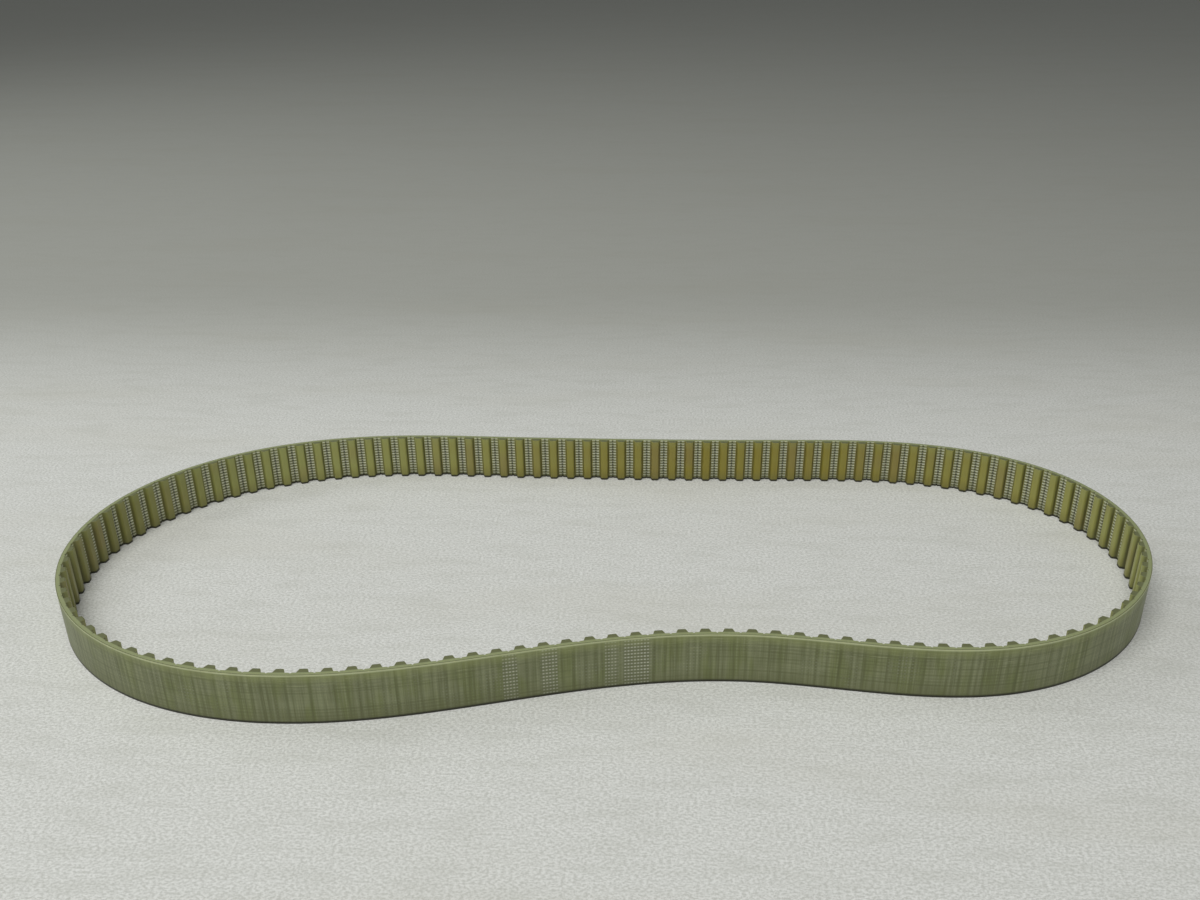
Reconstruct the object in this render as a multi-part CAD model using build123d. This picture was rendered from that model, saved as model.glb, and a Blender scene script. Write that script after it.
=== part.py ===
from build123d import *
import math
import os

# Endless trapezoidal timing belt, cast polyurethane on a pair of helically wound steel cords.
# Millimetres.  The belt stands on its lower edge: Z runs across the belt's width, the loop lies
# in X and Y, and the origin is the middle of the loop's box, on the lower edge.

# ---------------------------------------------------------------- driving dimensions: the belt
TOOTH_COUNT = 130               # teeth round the loop
PITCH = 10.0                    # tooth to tooth, measured along the cords
BELT_WIDTH = 25.0               # edge to edge
TOOTH_HEIGHT = 2.5              # from the land between teeth to the tooth's tip
TOOTH_BASE_WIDTH = 5.3          # where the flanks meet the land
FLANK_ANGLE = 40.0              # included angle between a tooth's two flanks, degrees
ROOT_RADIUS = 0.4               # fillet between land and flank
TIP_RADIUS = 0.6                # rounding between flank and tip
CORD_TO_LAND = 1.0              # from the cords' centre line in to the land between teeth
CORD_TO_BACK = 1.0              # from the cords' centre line out to the smooth back

# ------------------------------------------------------------- driving dimensions: the cords
CORD_DIAMETER = 0.9
CORD_SPACING = 1.7              # centre to centre of neighbouring passes, across the belt
CORD_EDGE_COVER = 0.35          # polyurethane between the outermost pass and the cut edge
GROOVE_WIDTH = 1.3              # winding groove across each gap, at the land
GROOVE_COVER = 0.12             # polyurethane left between the groove's bottom and the cords
CORD_SAG = 0.08                 # how far from the loop's line a cord's longer straight runs may be

# --------------------------------------------------------- driving dimensions: how the loop lies
# How sharply the loop bends at a few places round it, where 1 is the bend of a plain circle with
# as many teeth, and below 0 bends inwards.  A place is a share of the way round, clockwise seen
# from above, from the middle of the long run.  Between two places the bend changes evenly.
BEND_STATIONS = [
    (0.000, -0.04),             # the long run, almost straight
    (0.055, -0.13),
    (0.085, 0.18),
    (0.200, 2.57),              # right-hand end, the tightest bend
    (0.255, 2.02),
    (0.360, 1.73),              # bulge of the near run, right of the dent
    (0.440, -1.08),             # the dent in the near run
    (0.500, -0.38),
    (0.580, 0.95),              # bulge left of the dent
    (0.650, 1.63),
    (0.760, 2.16),              # left-hand end
    (0.820, 1.62),
    (0.890, 0.88),
    (0.945, -0.09),
    (1.000, -0.04),
]
CLOSING_ROUNDS = 8              # corrections that bring the loop's end onto its start
STRAIGHT_TURN = 0.0004          # radians: a pitch that turns less than this is drawn straight

# ----------------------------------------------------------------- what follows from those sizes
EVEN_TURN = 2 * math.pi / TOOTH_COUNT
LAND = -CORD_TO_LAND
TIP = LAND - TOOTH_HEIGHT
TIP_HALF_WIDTH = TOOTH_BASE_WIDTH / 2 - TOOTH_HEIGHT * math.tan(math.radians(FLANK_ANGLE / 2))
GROOVE_BOTTOM = -(CORD_DIAMETER / 2 + GROOVE_COVER)
CORD_LEAD = 2 * CORD_SPACING    # two cords side by side, so each climbs two spacings a turn
FIRST_PASS = CORD_EDGE_COVER + CORD_DIAMETER / 2
LAST_PASS = BELT_WIDTH - FIRST_PASS
CORD_PITCHES = math.floor((LAST_PASS - CORD_SPACING - FIRST_PASS) / CORD_LEAD * TOOTH_COUNT)


# --------------------------------------------------------------------------- the loop's line
def bend_at(share):
    """Bend at a share of the way round, relative to a plain circle's."""
    for (start, bend_start), (end, bend_end) in zip(BEND_STATIONS, BEND_STATIONS[1:]):
        if share <= end:
            return bend_start + (bend_end - bend_start) * (share - start) / (end - start)
    return BEND_STATIONS[-1][1]


def chord_length(arc_length, turn):
    """Straight distance across an arc of the given length and turn."""
    if abs(turn) < STRAIGHT_TURN:
        return arc_length
    return arc_length * math.sin(turn / 2) / (turn / 2)


def step(x, y, heading, length, turn):
    """The place and heading after following an arc that turns clockwise."""
    chord = chord_length(length, turn)
    direction = heading - turn / 2
    return x + chord * math.cos(direction), y + chord * math.sin(direction), heading - turn


def walk(turns):
    """Start of every pitch, (x, y, heading), and the end of the last one."""
    places = [(0.0, 0.0, 0.0)]
    for turn in turns:
        places.append(step(*places[-1], PITCH, turn))
    return places


def closed_turns():
    """Turn of every pitch, corrected by one gentle wave so that the loop closes on itself."""
    shares = [(pitch + 0.5) / TOOTH_COUNT for pitch in range(TOOTH_COUNT)]
    bends = [bend_at(share) for share in shares]
    lift = 1 - sum(bends) / TOOTH_COUNT
    wave = [(math.cos(2 * math.pi * share), math.sin(2 * math.pi * share)) for share in shares]

    def turns_with(p, q):
        return [EVEN_TURN * (bend + lift + p * c + q * s) for bend, (c, s) in zip(bends, wave)]

    def gap(p, q):
        end = walk(turns_with(p, q))[-1]
        return end[0], end[1]

    p, q, nudge = 0.0, 0.0, 1e-5
    for _ in range(CLOSING_ROUNDS):
        x, y = gap(p, q)
        x_p, y_p = gap(p + nudge, q)
        x_q, y_q = gap(p, q + nudge)
        a, b = (x_p - x) / nudge, (x_q - x) / nudge
        c, d = (y_p - y) / nudge, (y_q - y) / nudge
        determinant = a * d - b * c
        p, q = p - (d * x - b * y) / determinant, q - (a * y - c * x) / determinant
    return turns_with(p, q)


TURNS = closed_turns()
PLACES = walk(TURNS)


def on_loop(pitch, along, outward):
    """A point of one pitch: so far along it from its first tooth's middle, so far outward."""
    turn = TURNS[pitch % TOOTH_COUNT]
    x, y, heading = step(*PLACES[pitch % TOOTH_COUNT], along, turn * along / PITCH)
    return x - outward * math.sin(heading), y + outward * math.cos(heading)


# The middle of the back's box, which becomes the origin
BACK_POINTS = [on_loop(pitch, 0, CORD_TO_BACK) for pitch in range(TOOTH_COUNT)]
MIDDLE_X = (max(x for x, y in BACK_POINTS) + min(x for x, y in BACK_POINTS)) / 2
MIDDLE_Y = (max(y for x, y in BACK_POINTS) + min(y for x, y in BACK_POINTS)) / 2


def place(pitch, along, outward, height=0.0):
    """A point of one pitch in the belt's own frame, so far above its lower edge."""
    x, y = on_loop(pitch, along, outward)
    return x - MIDDLE_X, y - MIDDLE_Y, height


# ------------------------------------------------------------------------ one tooth's outline
def corner_arc(before, corner, after, radius):
    """Start, middle and end of the arc that rounds a corner, in (along, outward)."""
    here = Vector(*corner)
    inward = (Vector(*before) - here).normalized()
    onward = (Vector(*after) - here).normalized()
    half_angle = math.radians(inward.get_angle(onward)) / 2
    reach = radius / math.tan(half_angle)
    bisector = (inward + onward).normalized()
    middle = here + bisector * (radius / math.sin(half_angle) - radius)
    return [(point.X, point.Y) for point in (here + inward * reach, middle, here + onward * reach)]


TOOTH_MIDDLE = (0.0, TIP)
TIP_CORNER = (TIP_HALF_WIDTH, TIP)
ROOT_CORNER = (TOOTH_BASE_WIDTH / 2, LAND)
GROOVE_EDGE = (PITCH / 2 - GROOVE_WIDTH / 2, LAND)
TIP_ARC = corner_arc(TOOTH_MIDDLE, TIP_CORNER, ROOT_CORNER, TIP_RADIUS)
ROOT_ARC = corner_arc(TIP_CORNER, ROOT_CORNER, GROOVE_EDGE, ROOT_RADIUS)


def mirrored(points):
    """The same points seen from the next tooth, in the order they are met on the way there."""
    return [(PITCH - along, outward) for along, outward in reversed(points)]


def line_edge(pitch, start, end):
    return Line(place(pitch, *start), place(pitch, *end))


def arc_edge(pitch, points):
    return ThreePointArc(*(place(pitch, *point) for point in points))


def level_edge(pitch, start, end, outward):
    """An edge that follows the loop at one distance from the cords' line."""
    if abs(TURNS[pitch % TOOTH_COUNT]) < STRAIGHT_TURN:
        return line_edge(pitch, (start, outward), (end, outward))
    return arc_edge(pitch, [(start, outward), ((start + end) / 2, outward), (end, outward)])


def toothed_edges(pitch):
    """The toothed side from the middle of one tooth to the middle of the next."""
    groove = [GROOVE_EDGE, (PITCH / 2, GROOVE_BOTTOM), (PITCH - GROOVE_EDGE[0], LAND)]
    next_root, next_tip = mirrored(ROOT_ARC), mirrored(TIP_ARC)
    return [
        level_edge(pitch, 0, TIP_ARC[0][0], TIP),
        arc_edge(pitch, TIP_ARC),
        line_edge(pitch, TIP_ARC[2], ROOT_ARC[0]),
        arc_edge(pitch, ROOT_ARC),
        level_edge(pitch, ROOT_ARC[2][0], GROOVE_EDGE[0], LAND),
        arc_edge(pitch, groove),
        level_edge(pitch, PITCH - GROOVE_EDGE[0], next_root[0][0], LAND),
        arc_edge(pitch, next_root),
        line_edge(pitch, next_root[2], next_tip[0]),
        arc_edge(pitch, next_tip),
        level_edge(pitch, next_tip[2][0], PITCH, TIP),
    ]


# ---------------------------------------------------------------------------------- the pieces
def belt_blank():
    """Back and teeth, cast in one, before the cords take their place in it."""
    back = Wire([level_edge(pitch, 0, PITCH, CORD_TO_BACK) for pitch in range(TOOTH_COUNT)])
    teeth = Wire([edge for pitch in range(TOOTH_COUNT) for edge in toothed_edges(pitch)])
    return extrude(Face(back, [teeth]), BELT_WIDTH, dir=(0, 0, 1))


def cord_corners():
    """Gaps where a cord turns: as few as keep its straight runs close to the loop's line."""
    corners, turned = [0], 0.0
    for pitch in range(CORD_PITCHES):
        turn = abs(TURNS[pitch % TOOTH_COUNT] + TURNS[(pitch + 1) % TOOTH_COUNT]) / 2
        run = (pitch + 1 - corners[-1]) * PITCH
        sag = run * (turned + turn) / 8
        if turned and sag > CORD_SAG:
            corners.append(pitch)
            turned = 0.0
        turned += turn
    return corners + [CORD_PITCHES]


def wound_cord(first_height):
    """One cord, laid round and round the loop as it climbs, straight through each stiff tooth."""
    climb = CORD_LEAD / TOOTH_COUNT
    points = [
        Vector(*place(pitch, PITCH / 2, 0.0, first_height + pitch * climb))
        for pitch in cord_corners()
    ]
    runs = [(end - start).normalized() for start, end in zip(points, points[1:])]
    headings = [before + after for before, after in zip([runs[0], *runs], [*runs, runs[-1]])]
    sections = [
        Plane(origin=point, x_dir=(0, 0, 1), z_dir=heading) * Circle(CORD_DIAMETER / 2)
        for point, heading in zip(points, headings)
    ]
    return loft(sections, ruled=True)


steel_cord_s = wound_cord(FIRST_PASS)
steel_cord_z = wound_cord(FIRST_PASS + CORD_SPACING)
belt_body = belt_blank() - [steel_cord_s, steel_cord_z]

os.makedirs("parts", exist_ok=True)
export_step(belt_body, "parts/belt_body.step")
export_step(steel_cord_s, "parts/steel_cord_s.step")
export_step(steel_cord_z, "parts/steel_cord_z.step")
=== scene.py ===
# %% [markdown]
# # An endless toothed belt, standing on its edge
#
# The belt is one casting of olive polyurethane round two long steel cords.  The cords are wound
# side by side in a helix from one cut edge to the other, and each gap between teeth has a narrow
# groove where the mould held them.  This lesson models one tooth and its gap flat on the bench,
# repeats it along a straight strip, wraps the strip round the loop, and then paints and lights it.

import math

import bpy
from mathutils import Matrix, Vector


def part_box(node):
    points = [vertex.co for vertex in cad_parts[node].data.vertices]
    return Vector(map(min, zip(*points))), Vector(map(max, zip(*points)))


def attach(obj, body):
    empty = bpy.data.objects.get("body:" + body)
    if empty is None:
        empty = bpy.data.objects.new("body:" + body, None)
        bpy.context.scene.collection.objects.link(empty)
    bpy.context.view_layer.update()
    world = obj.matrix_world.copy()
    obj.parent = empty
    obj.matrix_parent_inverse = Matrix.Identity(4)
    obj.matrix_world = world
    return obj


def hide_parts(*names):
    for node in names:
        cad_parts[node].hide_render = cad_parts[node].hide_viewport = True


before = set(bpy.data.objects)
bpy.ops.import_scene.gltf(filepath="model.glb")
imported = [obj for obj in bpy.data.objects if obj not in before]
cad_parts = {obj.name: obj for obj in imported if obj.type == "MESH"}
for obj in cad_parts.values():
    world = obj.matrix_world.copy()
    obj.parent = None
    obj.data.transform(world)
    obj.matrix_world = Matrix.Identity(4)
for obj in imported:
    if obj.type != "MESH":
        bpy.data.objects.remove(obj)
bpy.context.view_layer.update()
MM = 0.001

# %% [markdown]
# ## Sizes
#
# The profile is a standard metric trapezoid on a 10 mm pitch.  Heights through the belt are
# measured outwards from the middle of the cords, so the land between two teeth and the teeth's
# tips are below zero.  They are the sizes that the design model was drawn from.

# %% Sizes, in millimetres
TOOTH_COUNT = 130
PITCH = 10.0
TOOTH_HEIGHT = 2.5
TOOTH_BASE_WIDTH = 5.3
FLANK_ANGLE = 40.0
ROOT_RADIUS = 0.4
TIP_RADIUS = 0.6
LAND = -1.0
BACK = 1.0
TIP = LAND - TOOTH_HEIGHT
TIP_WIDTH = TOOTH_BASE_WIDTH - 2 * TOOTH_HEIGHT * math.tan(math.radians(FLANK_ANGLE / 2))
CORD_DIAMETER = 0.9
CORD_SPACING = 1.7
CORD_EDGE_COVER = 0.35
GROOVE_WIDTH = 1.3
GROOVE_BOTTOM = -0.34           # a hair above the cords' undersides, so they show in the groove
body_low, body_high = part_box("belt_body")
BELT_WIDTH = (body_high.z - body_low.z) / MM
print("belt width", round(BELT_WIDTH, 3), "mm, tooth tip width", round(TIP_WIDTH, 3), "mm")

# %% [markdown]
# ## The line that the belt follows
#
# A belt lying loose keeps a smooth curve, and its length never changes, so the loop is told by
# how sharply it bends at a few places, not by points.  Walking round it one tooth at a time and
# turning by that much gives the line of the cords.  The same places shaped the design model, so
# the looks land exactly on it.

# %% How the loop bends
BEND_STATIONS = [
    (0.000, -0.04), (0.055, -0.13), (0.085, 0.18), (0.200, 2.57), (0.255, 2.02),
    (0.360, 1.73), (0.440, -1.08), (0.500, -0.38), (0.580, 0.95), (0.650, 1.63),
    (0.760, 2.16), (0.820, 1.62), (0.890, 0.88), (0.945, -0.09), (1.000, -0.04),
]
EVEN_TURN = 2 * math.pi / TOOTH_COUNT
NO_TURN = 1e-9                  # radians: less than this is straight
CLOSING_ROUNDS = 8
NUDGE = 1e-5                    # how far the closing wave is moved to see what that does


def bend_at(share):
    """Bend at a share of the way round, where 1 is the bend of a plain circle."""
    for (start, bend_start), (end, bend_end) in zip(BEND_STATIONS, BEND_STATIONS[1:]):
        if share <= end:
            return bend_start + (bend_end - bend_start) * (share - start) / (end - start)
    return BEND_STATIONS[-1][1]


def step(x, y, heading, length, turn):
    """The place and heading after an arc that turns clockwise."""
    chord = length * math.sin(turn / 2) / (turn / 2) if abs(turn) > NO_TURN else length
    direction = heading - turn / 2
    return x + chord * math.cos(direction), y + chord * math.sin(direction), heading - turn


def walk(turns):
    """Every tooth's place and heading, one turn after another."""
    places = [(0.0, 0.0, 0.0)]
    for turn in turns:
        places.append(step(*places[-1], PITCH, turn))
    return places


def closed_turns():
    """Turn of every pitch, with one gentle wave added so that the loop meets its own start."""
    shares = [(pitch + 0.5) / TOOTH_COUNT for pitch in range(TOOTH_COUNT)]
    bends = [bend_at(share) for share in shares]
    lift = 1 - sum(bends) / TOOTH_COUNT
    wave = [(math.cos(2 * math.pi * share), math.sin(2 * math.pi * share)) for share in shares]

    def turns_with(p, q):
        return [EVEN_TURN * (bend + lift + p * c + q * s) for bend, (c, s) in zip(bends, wave)]

    def gap(p, q):
        return walk(turns_with(p, q))[-1][:2]

    p, q = 0.0, 0.0
    for _ in range(CLOSING_ROUNDS):
        x, y = gap(p, q)
        x_p, y_p = gap(p + NUDGE, q)
        x_q, y_q = gap(p, q + NUDGE)
        a, b = (x_p - x) / NUDGE, (x_q - x) / NUDGE
        c, d = (y_p - y) / NUDGE, (y_q - y) / NUDGE
        determinant = a * d - b * c
        p, q = p - (d * x - b * y) / determinant, q - (a * y - c * x) / determinant
    return turns_with(p, q)


TURNS = closed_turns()
PLACES = walk(TURNS)
BACK_POINTS = [(x - BACK * math.sin(h), y + BACK * math.cos(h)) for x, y, h in PLACES[:-1]]
MIDDLE_X = (max(x for x, y in BACK_POINTS) + min(x for x, y in BACK_POINTS)) / 2
MIDDLE_Y = (max(y for x, y in BACK_POINTS) + min(y for x, y in BACK_POINTS)) / 2
print("loop closes within", round(math.hypot(*PLACES[-1][:2]), 6), "mm")


def loop_point(pitches, height=0.0):
    """A point on the cords' line, so many pitches round, at a height in millimetres."""
    pitch = int(pitches)
    along = (pitches - pitch) * PITCH
    turn = TURNS[pitch % TOOTH_COUNT]
    x, y, heading = step(*PLACES[pitch % TOOTH_COUNT], along, turn * along / PITCH)
    return (x - MIDDLE_X) * MM, (y - MIDDLE_Y) * MM, height * MM

# %% [markdown]
# ## One pitch of belt, flat on the bench
#
# The piece that repeats runs from the middle of one tooth to the middle of the next, with the
# gap and its groove in the middle.  It starts as a plain slab, the back of the belt.  Cuts mark
# where the flanks and the groove begin, the tooth halves are pulled out of the slab, and the
# corners are rounded last.  X runs along the belt, Y outwards from the cords and Z across.

# %% Small helpers for picking things in edit mode
TOUCH = 0.01 * MM
GROOVE_LEFT = PITCH / 2 - GROOVE_WIDTH / 2
GROOVE_RIGHT = PITCH / 2 + GROOVE_WIDTH / 2
ROOT_LEFT = TOOTH_BASE_WIDTH / 2
ROOT_RIGHT = PITCH - ROOT_LEFT
TIP_LEFT = TIP_WIDTH / 2
TIP_RIGHT = PITCH - TIP_LEFT


def pick(kind, chosen):
    """Selects the vertices, edges or faces of the mesh being edited that pass a test."""
    piece = bpy.context.object
    bpy.ops.object.mode_set(mode="EDIT")
    bpy.ops.mesh.select_mode(type=kind)
    bpy.ops.mesh.select_all(action="DESELECT")
    bpy.ops.object.mode_set(mode="OBJECT")
    mesh = piece.data
    items = {"VERT": mesh.vertices, "EDGE": mesh.edges, "FACE": mesh.polygons}[kind]
    count = 0
    for item in items:
        if kind == "VERT":
            places = [item.co]
        else:
            places = [mesh.vertices[v].co for v in item.vertices]
        item.select = bool(chosen(places))
        count += item.select
    bpy.ops.object.mode_set(mode="EDIT")
    return count


def near(value, target):
    """Whether a place in metres is at a size in millimetres."""
    return abs(value - target * MM) < TOUCH


def all_at(corners, axis, target):
    """Whether every corner is at one size along an axis, 0 for X, 1 for Y and 2 for Z."""
    return all(near(corner[axis], target) for corner in corners)


def cut_across(places):
    """Cuts the whole piece square across at these places along it."""
    for along in places:
        bpy.ops.mesh.select_all(action="SELECT")
        bpy.ops.mesh.bisect(plane_co=(along * MM, 0, 0), plane_no=(1, 0, 0))


# %% The slab, its cuts and the two half teeth
bpy.ops.object.select_all(action="DESELECT")
bpy.ops.mesh.primitive_cube_add(size=1)
belt = bpy.context.object
belt.name = "polyurethane_belt"
bpy.ops.object.mode_set(mode="EDIT")
bpy.ops.transform.resize(value=(PITCH * MM, (BACK - LAND) * MM, BELT_WIDTH * MM))
bpy.ops.transform.translate(value=(PITCH / 2 * MM, (BACK + LAND) / 2 * MM, BELT_WIDTH / 2 * MM))
cut_across([ROOT_LEFT, GROOVE_LEFT, PITCH / 2, GROOVE_RIGHT, ROOT_RIGHT])


def tooth_half(low, high):
    """A test for the land's face between two places along the piece."""
    def chosen(corners):
        between = all(low * MM - TOUCH <= corner.x <= high * MM + TOUCH for corner in corners)
        return between and all_at(corners, 1, LAND)
    return chosen


for low, high, edge, lean in ((0, ROOT_LEFT, ROOT_LEFT, -1), (ROOT_RIGHT, PITCH, ROOT_RIGHT, 1)):
    pick("FACE", tooth_half(low, high))
    bpy.ops.mesh.extrude_region_move(TRANSFORM_OT_translate={"value": (0, -TOOTH_HEIGHT * MM, 0)})
    pick("VERT", lambda place, edge=edge: near(place[0].y, TIP) and near(place[0].x, edge))
    bpy.ops.transform.translate(value=(lean * (ROOT_LEFT - TIP_LEFT) * MM, 0, 0))
bpy.ops.object.mode_set(mode="OBJECT")
print("slab with two half teeth:", len(belt.data.vertices), "vertices")

# %% [markdown]
# ## The groove and the rounded corners
#
# The groove's floor is pushed in from the land as far as the cords, and its floor and the
# tooth's corners are rounded with the bevel operator, at the mould's own radii.  A bevel's
# width on a corner that turns by 70 degrees is the radius times the tangent of half of that.

# %% Groove, root fillets and tip radii
CORNER_REACH = math.tan(math.radians((90 - FLANK_ANGLE / 2) / 2))
GROOVE_ROUNDING = 0.28
GROOVE_SEGMENTS = 4
CORNER_SEGMENTS = 3             # the pitch repeats 130 times, so it stays light


def run_across(along, outward):
    """A test for the edge that runs across the belt at one place of the outline."""
    def chosen(ends):
        return all_at(ends, 0, along) and all_at(ends, 1, outward)
    return chosen


def round_edge(along, outward, reach, segments):
    """Rounds one edge that runs across the belt."""
    found = pick("EDGE", run_across(along, outward))
    if found:
        bpy.ops.mesh.bevel(offset=reach * MM, offset_type="OFFSET", segments=segments, profile=0.5)
    return found


pick("VERT", lambda place: near(place[0].x, PITCH / 2) and near(place[0].y, LAND))
bpy.ops.transform.translate(value=(0, (GROOVE_BOTTOM - LAND) * MM, 0))
rounded = round_edge(PITCH / 2, GROOVE_BOTTOM, GROOVE_ROUNDING, GROOVE_SEGMENTS)
for along in (TIP_LEFT, TIP_RIGHT):
    rounded += round_edge(along, TIP, TIP_RADIUS * CORNER_REACH, CORNER_SEGMENTS)
for along in (ROOT_LEFT, ROOT_RIGHT):
    rounded += round_edge(along, LAND, ROOT_RADIUS * CORNER_REACH, CORNER_SEGMENTS)
bpy.ops.object.mode_set(mode="OBJECT")
print("rounded edges:", rounded, "of 5;", len(belt.data.vertices), "vertices")

# %% [markdown]
# ## Cut edges
#
# The belt was slit to width with a knife, which leaves a crisp edge with the least trace of a
# chamfer, enough to catch the light.  The two ends of the piece are opened first, because the
# next piece joins on there.  The outline of each cut face is then found as its region's border.

# %% Open ends, and the slit edges' chamfer
SLIT_CHAMFER = 0.12


def on_end(corners):
    """Whether something lies on either end of the piece, where the next pitch joins on."""
    return all_at(corners, 0, 0) or all_at(corners, 0, PITCH)


def on_cut(corners):
    """Whether something lies on either of the two slit faces."""
    return all_at(corners, 2, 0) or all_at(corners, 2, BELT_WIDTH)


pick("FACE", on_end)
bpy.ops.mesh.delete(type="FACE")
pick("FACE", on_cut)
bpy.ops.mesh.region_to_loop()
bpy.ops.object.mode_set(mode="OBJECT")
for edge in belt.data.edges:
    if on_end([belt.data.vertices[v].co for v in edge.vertices]):
        edge.select = False
chamfered = sum(edge.select for edge in belt.data.edges)
bpy.ops.object.mode_set(mode="EDIT")
bpy.ops.mesh.bevel(offset=SLIT_CHAMFER * MM, offset_type="OFFSET", segments=1)
bpy.ops.object.mode_set(mode="OBJECT")
print("chamfered edges:", chamfered, "faces in one pitch:", len(belt.data.polygons))

# %% [markdown]
# ## Repeating the pitch and naming places on it
#
# An Array modifier lays 130 copies end to end and merges them where they meet.  While the strip
# is still straight, each corner of each face writes down how many pitches along it is and how far
# outwards, as a UV map.  The paint reads that map later, so it follows the belt round every bend.

# %% The straight strip, 130 pitches long, and its map
def apply_modifiers(piece):
    """Applies every modifier of a piece, in order."""
    bpy.ops.object.select_all(action="DESELECT")
    piece.select_set(True)
    bpy.context.view_layer.objects.active = piece
    for name in [modifier.name for modifier in piece.modifiers]:
        bpy.ops.object.modifier_apply(modifier=name)


repeat = belt.modifiers.new("repeat", "ARRAY")
repeat.count = TOOTH_COUNT
repeat.use_relative_offset = False
repeat.use_constant_offset = True
repeat.constant_offset_displace = (PITCH * MM, 0, 0)
repeat.use_merge_vertices = True
repeat.merge_threshold = TOUCH
apply_modifiers(belt)

for old_map in list(belt.data.uv_layers):
    belt.data.uv_layers.remove(old_map)
belt_map = belt.data.uv_layers.new(name="belt")
for loop in belt.data.loops:
    corner = belt.data.vertices[loop.vertex_index].co
    belt_map.data[loop.index].uv = (corner.x / (PITCH * MM), corner.y / MM)
print("strip:", round(belt.dimensions.x, 4), "m long,", len(belt.data.polygons), "faces")

# %% [markdown]
# ## Wrapping the strip round the loop
#
# A Curve modifier bends the strip along the line of the cords, which keeps its length, so every
# tooth lands in its place.  The curve is the walk from above with eight points to a pitch.  The
# two ends of the strip then meet and are merged, and the faces are turned to point outwards.

# %% Wrap, close and smooth the belt
POINTS_PER_PITCH = 8
SMOOTH_BELOW = 30.0             # degrees: sharper edges stay crisp
line = bpy.data.curves.new("loop_line", "CURVE")
line.dimensions = "2D"
run = line.splines.new("POLY")
run.points.add(TOOTH_COUNT * POINTS_PER_PITCH - 1)
for index, point in enumerate(run.points):
    point.co = (*loop_point(index / POINTS_PER_PITCH), 1)
run.use_cyclic_u = True
loop_line = bpy.data.objects.new("loop_line", line)
bpy.context.scene.collection.objects.link(loop_line)

wrap = belt.modifiers.new("wrap", "CURVE")
wrap.object = loop_line
wrap.deform_axis = "POS_X"
apply_modifiers(belt)
bpy.data.objects.remove(loop_line)

bpy.ops.object.mode_set(mode="EDIT")
bpy.ops.mesh.select_all(action="SELECT")
bpy.ops.mesh.remove_doubles(threshold=TOUCH)
bpy.ops.mesh.normals_make_consistent(inside=False)
bpy.ops.object.mode_set(mode="OBJECT")
bpy.ops.object.shade_smooth_by_angle(angle=math.radians(SMOOTH_BELOW))
triangles = sum(len(face.vertices) - 2 for face in belt.data.polygons)
print("belt:", triangles, "triangles, box", [round(size, 4) for size in belt.dimensions])
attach(belt, "root")
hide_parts("belt_body")

# %% [markdown]
# ## The two steel cords
#
# The cords come straight from the design model, one wound next to the other.  They only show
# where the grooves lay them bare, as rows of small bright dots, so their own exact shape is kept
# and they just get a steel finish further on.

# %% The two cords and where they lie across the belt
cords = [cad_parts[name] for name in ("steel_cord_s", "steel_cord_z")]
for cord in cords:
    low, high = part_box(cord.name)
    print(cord.name, "from", round(low.z / MM, 2), "to", round(high.z / MM, 2), "mm above the edge")

# %% [markdown]
# ## Shader maths that reads like maths
#
# A finish is worked out from places on the piece: how far along, how far out, how high.  This
# little class wraps one socket of a node, so that an ordinary expression on it adds the Math
# nodes, and a Finish holds one material and adds any other node with its settings and inputs.

# %% A wrapped socket, and a material that grows nodes
class Field:
    """A number that varies over a surface."""

    def __init__(self, finish, socket):
        self.finish = finish
        self.socket = socket

    def with_(self, operation, *others, first=None):
        inputs = [self if first is None else first, *others]
        return self.finish.node("ShaderNodeMath", {"operation": operation}, dict(enumerate(inputs)))

    def __add__(self, other):
        return self.with_("ADD", other)

    def __sub__(self, other):
        return self.with_("SUBTRACT", other)

    def __rsub__(self, other):
        return self.with_("SUBTRACT", self, first=other)

    def __mul__(self, other):
        return self.with_("MULTIPLY", other)

    def __truediv__(self, other):
        return self.with_("DIVIDE", other)

    def __gt__(self, other):
        return self.with_("GREATER_THAN", other)

    def __lt__(self, other):
        return self.with_("LESS_THAN", other)

    __radd__ = __add__
    __rmul__ = __mul__

    def size(self):
        return self.with_("ABSOLUTE")

    def part(self):
        """What is left past the whole number."""
        return self.with_("FRACT")

    def ramp(self, low, high):
        """0 below low, 1 above high and smooth between; turned round if low is above high."""
        settings = {"interpolation_type": "SMOOTHSTEP"}
        flip = low > high
        inputs = {"Value": self, "From Min": min(low, high), "From Max": max(low, high)}
        inputs |= {"To Min": 1.0 if flip else 0.0, "To Max": 0.0 if flip else 1.0}
        return self.finish.node("ShaderNodeMapRange", settings, inputs)

    def bump(self, middle, reach):
        """1 at a value, fading to 0 at the reach either side of it."""
        return (self - middle).size().ramp(reach, 0.0)


def paint(red, green, blue):
    """A colour as a paint chart gives it, 0 to 255, turned into light."""
    values = [value / 255 for value in (red, green, blue)]
    light = [v / 12.92 if v <= 0.04045 else ((v + 0.055) / 1.055) ** 2.4 for v in values]
    return (*light, 1.0)


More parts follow.
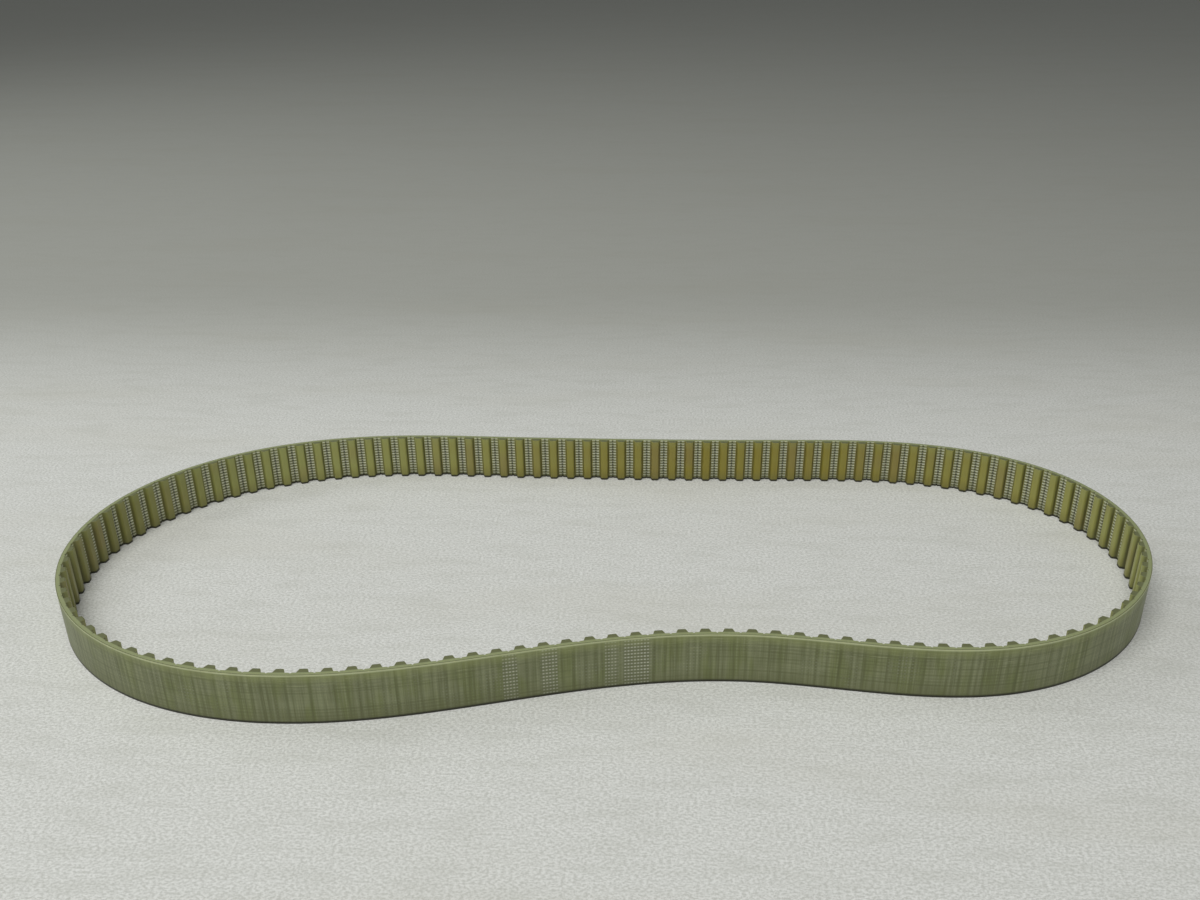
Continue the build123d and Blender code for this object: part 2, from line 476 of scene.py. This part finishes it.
class Finish:
    """One material, with a method that adds any node."""

    def __init__(self, name):
        self.material = bpy.data.materials.new(name)
        self.material.use_nodes = True
        self.tree = self.material.node_tree
        self.shader = self.tree.nodes["Principled BSDF"]

    def node(self, kind, settings=None, inputs=None, output=0):
        node = self.tree.nodes.new(kind)
        for name, value in (settings or {}).items():
            setattr(node, name, value)
        for name, value in (inputs or {}).items():
            self.feed(node.inputs[name], value)
        return Field(self, node.outputs[output])

    def feed(self, socket, value):
        if isinstance(value, Field):
            self.tree.links.new(value.socket, socket)
        else:
            socket.default_value = value

    def place(self):
        """Object coordinates in millimetres, as a vector and its three parts."""
        raw = self.node("ShaderNodeTexCoord", output="Object")
        here = self.node("ShaderNodeVectorMath", {"operation": "SCALE"}, {0: raw, "Scale": 1 / MM})
        return here, self.parts(here)

    def parts(self, vector):
        split = self.node("ShaderNodeSeparateXYZ", inputs={0: vector})
        outputs = split.socket.node.outputs
        return [Field(self, output) for output in outputs]

    def vector(self, x, y, z):
        return self.node("ShaderNodeCombineXYZ", inputs={0: x, 1: y, 2: z})

    def noise(self, vector, scale, detail=2.0, roughness=0.5):
        inputs = {"Vector": vector, "Scale": scale, "Detail": detail, "Roughness": roughness}
        return self.node("ShaderNodeTexNoise", inputs=inputs, output="Fac")

    def blend(self, amount, first, second):
        """The first colour, going over to the second as the amount goes from 0 to 1."""
        settings = {"data_type": "RGBA", "clamp_factor": True}
        return self.node("ShaderNodeMix", settings, {0: amount, 6: first, 7: second}, output=2)

    def wear(self, **inputs):
        """Sets the shader's sockets, by number or by link."""
        for name, value in inputs.items():
            self.feed(self.shader.inputs[name.replace("_", " ")], value)

    def relief(self, height, distance, strength=1.0):
        inputs = {"Height": height, "Distance": distance * MM, "Strength": strength}
        self.feed(self.shader.inputs["Normal"], self.node("ShaderNodeBump", inputs=inputs))

    def cover(self, piece):
        piece.data.materials.clear()
        piece.data.materials.append(self.material)


print("shader helpers ready")

# %% [markdown]
# ## Olive polyurethane: where on the belt am I?
#
# The casting is a cloudy olive plastic, a little see-through, so what lies under the skin tints
# it.  Every effect needs the same few facts: the pitch and the phase within it, the side of the
# belt, the height, and how far a spot is from the nearest pass of the cords, which climb by two
# spacings in every turn of the loop.

# %% Places on the belt
skin = Finish("olive_polyurethane")
here, (_, _, height) = skin.place()
belt_uv = skin.node("ShaderNodeUVMap", {"uv_map": "belt"})
pitch, outward, _ = skin.parts(belt_uv)
phase = pitch.part()
from_groove = (phase - 0.5).size() * PITCH
on_back = outward.ramp(0.6, 0.8)
on_slit = (height < SLIT_CHAMFER / 2) + (height > BELT_WIDTH - SLIT_CHAMFER / 2)
first_pass = CORD_EDGE_COVER + CORD_DIAMETER / 2
climbed = pitch * (2 * CORD_SPACING / TOOTH_COUNT)
cord_phase = ((height - first_pass - climbed) / CORD_SPACING).part()
on_cord = (cord_phase - 0.5).size().ramp(0.18, 0.42)
print("nodes so far:", len(skin.tree.nodes))

# %% [markdown]
# ## The toothed side's colour
#
# The teeth are thick and look deep olive, amber along the far run and browner at the left end.
# The lands are thin, so the pale cords show through them as the rungs of a ladder on either side
# of the groove, a slot darkened by painted shade, with a paler dot at every cord.  Each tooth's two
# flanks are steep and turned from the light, so painted shade darkens them, the right one most.

# %% Colour of teeth, lands and grooves
TOOTH_GREEN, TOOTH_AMBER = paint(162, 166, 98), paint(150, 138, 52)
# The second colour here is painted shade for the teeth's steep flanks.
TOOTH_BROWN, FLANK_SHADE = paint(146, 130, 82), paint(74, 72, 34)
END_BROWN = paint(112, 106, 50)
LAND_OLIVE, LAND_RUNG = paint(130, 132, 94), paint(234, 236, 212)
# This colour is painted shade for the groove's recess between the cords.
GROOVE_SHADE = paint(66, 68, 46)
LAND_HALF = PITCH / 2 - TOOTH_BASE_WIDTH / 2
AMBER_MIDDLE, AMBER_REACH = 8.0, 30.0   # pitches: where the teeth are warmest
LEFT_END, LEFT_END_REACH = 98.0, 16.0   # pitches: where the teeth are browner
WARM_FOOT = 11.0                        # millimetres above the lower edge
FLANK_REACH = 0.06                      # of a pitch, either side of a flank's foot

along = pitch * PITCH
amber_near = pitch.bump(AMBER_MIDDLE, AMBER_REACH)
amber_far = pitch.bump(AMBER_MIDDLE + TOOTH_COUNT, AMBER_REACH)
drift = skin.noise(skin.vector(pitch, 0.0, 0.0), 0.35, 3.0)
cloud = skin.noise(skin.vector(along * 0.25, 0.0, height * 0.12), 1.0, 2.0)
amber = (amber_near + amber_far) * (0.55 + 0.7 * drift) + 0.3 * cloud - 0.08
teeth = skin.blend(amber + height.ramp(WARM_FOOT, 0.0) * 0.25, TOOTH_GREEN, TOOTH_AMBER)
tooth_number = (pitch + 0.5).with_("FLOOR")
teeth = skin.blend(pitch.bump(LEFT_END, LEFT_END_REACH) * 0.6, teeth, END_BROWN)
batch = skin.noise(skin.vector(tooth_number * 0.83, 0.0, height * 0.03), 1.0, 1.0)
teeth = skin.blend(batch.ramp(0.52, 0.68) * 0.45, teeth, TOOTH_BROWN)
rungs = on_cord * (0.4 + 0.95 * skin.noise(here, 0.6, 2.0))
land = skin.blend(rungs, LAND_OLIVE, LAND_RUNG)
# Painted shade fills the groove between the cords, lighter on each cord.
groove = from_groove.ramp(0.6, 0.25) * (1 - 0.5 * on_cord)
land = skin.blend(groove * 0.85, land, GROOVE_SHADE)
in_gap = from_groove.ramp(LAND_HALF - 0.2, LAND_HALF - 0.6)
toothed = skin.blend(in_gap, teeth, land)
# Painted shade on each tooth's two flanks, strongest on the right one.
right_flank_shade = phase.bump(ROOT_LEFT / PITCH - 0.02, FLANK_REACH)
left_flank_shade = phase.bump(ROOT_RIGHT / PITCH + 0.01, FLANK_REACH)
toothed = skin.blend(0.9 * right_flank_shade + 0.65 * left_flank_shade, toothed, FLANK_SHADE)
depth = outward.ramp(LAND - 0.1, TIP + 0.5)
print("nodes so far:", len(skin.tree.nodes))

# %% [markdown]
# ## The back's colour
#
# The back is ground flat, which leaves fine upright scratches, and it is thin enough for the
# teeth to show through as a slow rhythm: a dark line at each flank and groove.  Uneven upright
# bands and greener clouds keep that from looking printed.  The cords show as faint level lines,
# and in a few places a ladder of pale dashes shows between them.

# %% Colour of the back
BACK_OLIVE, BACK_SHADE = paint(128, 133, 96), paint(94, 99, 58)
BACK_LIGHT, DASH_PALE = paint(158, 163, 126), paint(218, 220, 202)
BACK_GREEN, LINE_PALE = paint(120, 130, 66), paint(190, 196, 152)
LINE_SHARE, LINE_REACH = 0.235, 0.11    # of a pitch, from a tooth's middle
SCRATCH_PITCH = 0.35            # millimetres
DASH_COLUMNS = 7                # upright columns of dashes to a pitch
DASHED = [                      # middle and reach in pitches, and strength
    (62.0, 0.8, 1.0),
    (63.1, 0.4, 0.7),
    (65.8, 0.5, 0.9),
    (67.5, 0.42, 0.8),
]

uneven = skin.noise(skin.vector(pitch * 0.9, 0.0, height * 0.05), 1.0, 2.0)
rhythm = (phase.bump(LINE_SHARE, LINE_REACH) + phase.bump(1 - LINE_SHARE, LINE_REACH)
          + 0.8 * phase.bump(0.5, 0.06)) * (0.35 + 1.1 * uneven)
streaks = phase.bump(0.34, 0.06) + phase.bump(0.63, 0.06) + 0.6 * phase.bump(0.1, 0.05)
scratches = skin.noise(skin.vector(along / SCRATCH_PITCH, 0.0, height * 0.05), 1.0, 3.0, 0.65)
broad = skin.noise(skin.vector(along * 0.06, 0.0, height * 0.08), 1.0, 2.0)
back = skin.blend(broad.ramp(0.35, 0.7) * 0.45, BACK_OLIVE, BACK_LIGHT)
tint = skin.noise(skin.vector(along * 0.11, 3.0, height * 0.04), 1.0, 2.0)
back = skin.blend(tint.ramp(0.45, 0.62) * 0.55, back, BACK_GREEN)
back = skin.blend(rhythm * 0.55, back, BACK_SHADE)
bands = skin.noise(skin.vector(along * 0.6, 0.0, height * 0.02), 1.0, 2.0)
back = skin.blend(bands.ramp(0.5, 0.7) * 0.5, back, BACK_SHADE)
back = skin.blend(bands.ramp(0.5, 0.3) * 0.4, back, BACK_LIGHT)
back = skin.blend(streaks * (0.1 + 0.5 * uneven) * (0.7 + 0.5 * on_cord), back, BACK_LIGHT)
level = skin.noise(skin.vector(pitch * 0.05, 0.0, height * 0.45), 1.0, 2.0).ramp(0.4, 0.65)
back = skin.blend((1 - on_cord) * (0.06 + 0.4 * level), back, BACK_SHADE)
back = skin.blend(scratches.ramp(0.5, 0.75) * 0.4, back, BACK_LIGHT)
back = skin.blend(scratches.ramp(0.48, 0.3) * 0.4, back, BACK_SHADE)
fine_lines = skin.noise(skin.vector(along * 0.09, 7.0, height * 3.5), 1.0, 1.0).ramp(0.62, 0.7)
back = skin.blend(fine_lines * height.ramp(10.0, 23.0) * 0.5, back, LINE_PALE)
column = (pitch * DASH_COLUMNS).part().bump(0.5, 0.55)
dashes = column * cord_phase.bump(0.5, 0.32) * (0.4 + 1.1 * skin.noise(here, 0.7, 2.0))
faint = uneven.ramp(0.45, 0.75) * 0.25
dashed = faint
for middle, reach, strength in DASHED:
    dashed = pitch.bump(middle, reach).ramp(0.05, 0.35) * strength + dashed
back = skin.blend(dashed * (1 - dashes) * 0.7, back, BACK_SHADE)
back = skin.blend(dashed * (0.08 + 0.85 * dashes), back, DASH_PALE)
print("nodes so far:", len(skin.tree.nodes))

# %% [markdown]
# ## Edges, and putting the sides together
#
# Painted light makes the top few millimetres yellower and brighter, where light soaks in and comes
# out again, with a painted highlight as a thin pale line along the back's corner; painted shade
# makes the bottom duller, and a painted contact shadow is darkest where it meets the floor.
# The slit edges are paler over the back than over the teeth, with a darker outline along the edges
# of each slit face, and they are rougher than the moulded faces.

# %% Whole colour, roughness and relief
# Painted light for the top edge, painted shade low down, and a painted contact shadow at the floor.
GLOW, LOW_SHADE, CONTACT_SHADOW = paint(160, 168, 106), paint(98, 100, 62), paint(34, 33, 18)
SLIT_OLIVE, SLIT_BAND, SLIT_OUTLINE = paint(106, 110, 74), paint(152, 160, 116), paint(84, 86, 52)
# Painted highlight for the thin pale line along the back's corner.
CORNER_HIGHLIGHT = paint(212, 218, 174)
OUTLINE = 0.2                   # millimetres
GLOW_DEPTH, LOW_SHADE_HEIGHT = 6.0, 9.0
CORNER_DEPTH, CORNER_REACH_UP = 0.4, 0.8
CONTACT_FADES, CONTACT_FULL = 1.7, 0.7

colour = skin.blend(on_back, toothed, back)
under_tooth = from_groove.ramp(LAND_HALF - 0.1, LAND_HALF + 0.5)
# Painted light: the top few millimetres glow brighter, most under the teeth.
lit_edge = height.ramp(BELT_WIDTH - GLOW_DEPTH, BELT_WIDTH - 0.5) * (0.5 + 0.15 * under_tooth)
colour = skin.blend(lit_edge * (0.4 + 0.4 * on_back), colour, GLOW)
# Painted highlight: a thin pale line along the back's top corner.
corner_highlight = height.bump(BELT_WIDTH - CORNER_DEPTH, CORNER_REACH_UP) * (0.5 + 0.6 * uneven)
colour = skin.blend(on_back * corner_highlight, colour, CORNER_HIGHLIGHT)
# Painted shade: darker towards the bottom.
colour = skin.blend(height.ramp(LOW_SHADE_HEIGHT, 0.0) * 0.4, colour, LOW_SHADE)
# Painted contact shadow along the bottom, where the belt meets the floor.
colour = skin.blend(height.ramp(CONTACT_FADES, CONTACT_FULL) * 0.95, colour, CONTACT_SHADOW)
mottle = skin.noise(here, 0.9, 3.0, 0.6)
from_outline = (outward - BACK).size().with_("MINIMUM", (outward - TIP).size())
on_band = outward.ramp(LAND - 0.2, LAND + 0.3) * (0.6 + 0.4 * mottle)
slit = skin.blend(on_band, SLIT_OLIVE, SLIT_BAND)
slit = skin.blend(from_outline.ramp(OUTLINE * 2, OUTLINE), slit, SLIT_OUTLINE)
colour = skin.blend(on_slit, colour, slit)
roughness = 0.42 + 0.14 * mottle + 0.12 * dashed + 0.25 * on_slit - 0.06 * (1 - on_back)
grain = skin.noise(here, 3.5, 3.0, 0.6)
relief = 0.35 * grain + on_back * scratches * 0.5 + 0.25 * on_cord * (1 - depth)
relief = relief * (1 - 0.5 * on_slit)
skin.relief(relief, 0.05, 0.55)
skin.wear(Base_Color=colour, Roughness=roughness, IOR=1.5)
skin.wear(Subsurface_Weight=0.12, Subsurface_Scale=0.0015)
skin.shader.inputs["Subsurface Radius"].default_value = (1.0, 0.9, 0.45)
skin.cover(belt)
print("polyurethane nodes:", len(skin.tree.nodes))

# %% [markdown]
# ## Zinc-bright steel for the cords
#
# Each cord is a strand of thin wires twisted together.  A tight slanting stripe across the cord
# stands for the wires' lay, in colour, roughness and relief, with painted shade darkening the
# valleys between the bright crowns.

# %% Steel strand
WIRE_LAY, WIRE_SLANT = 1.6, 2.2     # stripes to a millimetre, along and across
steel = Finish("stranded_steel")
steel_here, (steel_x, steel_y, steel_z) = steel.place()
lay = ((steel_x + steel_y) * WIRE_LAY + steel_z * WIRE_SLANT).part()
crown = (lay - 0.5).size().ramp(0.5, 0.1)
tarnish = steel.noise(steel_here, 0.8, 3.0)
# The darker colour is painted shade in the valleys between the wires.
strand = steel.blend(crown, paint(96, 94, 86), paint(206, 203, 192))
strand = steel.blend(tarnish.ramp(0.5, 0.8) * 0.5, strand, paint(150, 142, 118))
steel.wear(Base_Color=strand, Roughness=0.3 + 0.25 * tarnish, Metallic=0.6 + 0.3 * crown)
steel.relief(crown, 0.06, 0.8)
for cord in cords:
    steel.cover(cord)
print("steel nodes:", len(steel.tree.nodes))

# %% [markdown]
# ## Floor, light and camera
#
# A pale floor of matt paper, faintly streaked, with painted shade that greys it towards the back,
# runs far enough to fill the view.  Its light comes from a wide soft panel above and in front, so
# the near floor is bright and the far floor falls away.  A small panel at the left and a weak sky
# fill in the shade on the teeth that face the front.

# %% The floor
FLOOR_SIZE = 14.0               # metres
# Where painted shade starts and ends, in millimetres back.
FAR_FLOOR_SHADE = (140.0, 480.0)      # millimetres back: where the paper goes over to its greyer end
bpy.ops.object.select_all(action="DESELECT")
bpy.ops.mesh.primitive_plane_add(size=FLOOR_SIZE)
floor = bpy.context.object
floor.name = "floor"
paper = Finish("pale_paper")
_, (paper_x, paper_y, _) = paper.place()
fibres = paper.noise(paper.vector(paper_x * 0.7, paper_y, 0.0), 1.0, 5.0, 0.75)
waves = paper.noise(paper.vector(paper_x * 0.004, paper_y * 0.016, 0.0), 1.0, 2.0)
sheet = paper.blend(fibres.ramp(0.38, 0.62), paint(200, 201, 196), paint(234, 235, 232))
sheet = paper.blend(waves.ramp(0.45, 0.8) * 0.35, sheet, paint(204, 202, 190))
streak = paper.noise(paper.vector(paper_x * 0.03, paper_y * 0.12, 0.0), 1.0, 3.0)
sheet = paper.blend(streak.ramp(0.45, 0.7) * 0.2, sheet, paint(188, 189, 180))
# Painted shade: the paper darkens towards the back, where the panel's light falls away.
sheet = paper.blend(paper_y.ramp(*FAR_FLOOR_SHADE) * 0.75, sheet, paint(156, 157, 149))
paper.wear(Base_Color=sheet, Roughness=0.85)
paper.relief(fibres, 0.12, 0.25)
paper.cover(floor)
print("floor", FLOOR_SIZE, "m across")


# %% Soft studio light
def panel(name, place, target, width, depth, power, tint):
    """A soft light panel that faces a point."""
    light = bpy.data.lights.new(name, "AREA")
    light.shape = "RECTANGLE"
    light.size = width
    light.size_y = depth
    light.energy = power
    light.color = tint
    stand = bpy.data.objects.new(name, light)
    bpy.context.scene.collection.objects.link(stand)
    stand.location = place
    stand.rotation_euler = (Vector(target) - Vector(place)).to_track_quat("-Z", "Y").to_euler()
    return stand


WARM_WHITE, COOL_WHITE = (1.0, 0.995, 0.97), (0.97, 1.0, 0.98)
panel("front_panel", (-0.3, -0.7, 1.85), (0.0, 0.15, 0.0), 1.6, 1.0, 26.0, WARM_WHITE)
panel("side_panel", (-1.6, 0.6, 1.3), (0.0, 0.1, 0.0), 1.0, 1.0, 6.0, COOL_WHITE)
sky = bpy.data.worlds.new("soft_room")
bpy.context.scene.world = sky
sky.use_nodes = True
background = sky.node_tree.nodes["Background"]
background.inputs["Color"].default_value = (0.93, 0.96, 0.95, 1.0)
background.inputs["Strength"].default_value = 0.2
print("two panels and a weak sky")

# %% The camera
CAMERA_PLACE = (0.02616, -0.47985, 0.30616)     # metres
CAMERA_TURN = 3.300             # degrees to the left of straight ahead
CAMERA_DOWN = 25.882            # degrees below level
CAMERA_ROLL = -0.635            # degrees anticlockwise
FOCAL_LENGTH = 33.546           # millimetres
camera = bpy.data.cameras.new("camera")
camera.lens = FOCAL_LENGTH
camera.sensor_width = 36.0
camera.clip_start = 0.01
camera.clip_end = 100.0
eye = bpy.data.objects.new("camera", camera)
bpy.context.scene.collection.objects.link(eye)
turn = Matrix.Rotation(math.radians(CAMERA_TURN), 4, "Z")
tilt = Matrix.Rotation(math.radians(90 - CAMERA_DOWN), 4, "X")
roll = Matrix.Rotation(math.radians(CAMERA_ROLL), 4, "Z")
eye.matrix_world = Matrix.Translation(CAMERA_PLACE) @ turn @ tilt @ roll
bpy.context.scene.camera = eye
bpy.context.scene.view_settings.view_transform = "Standard"
print("camera at", CAMERA_PLACE)
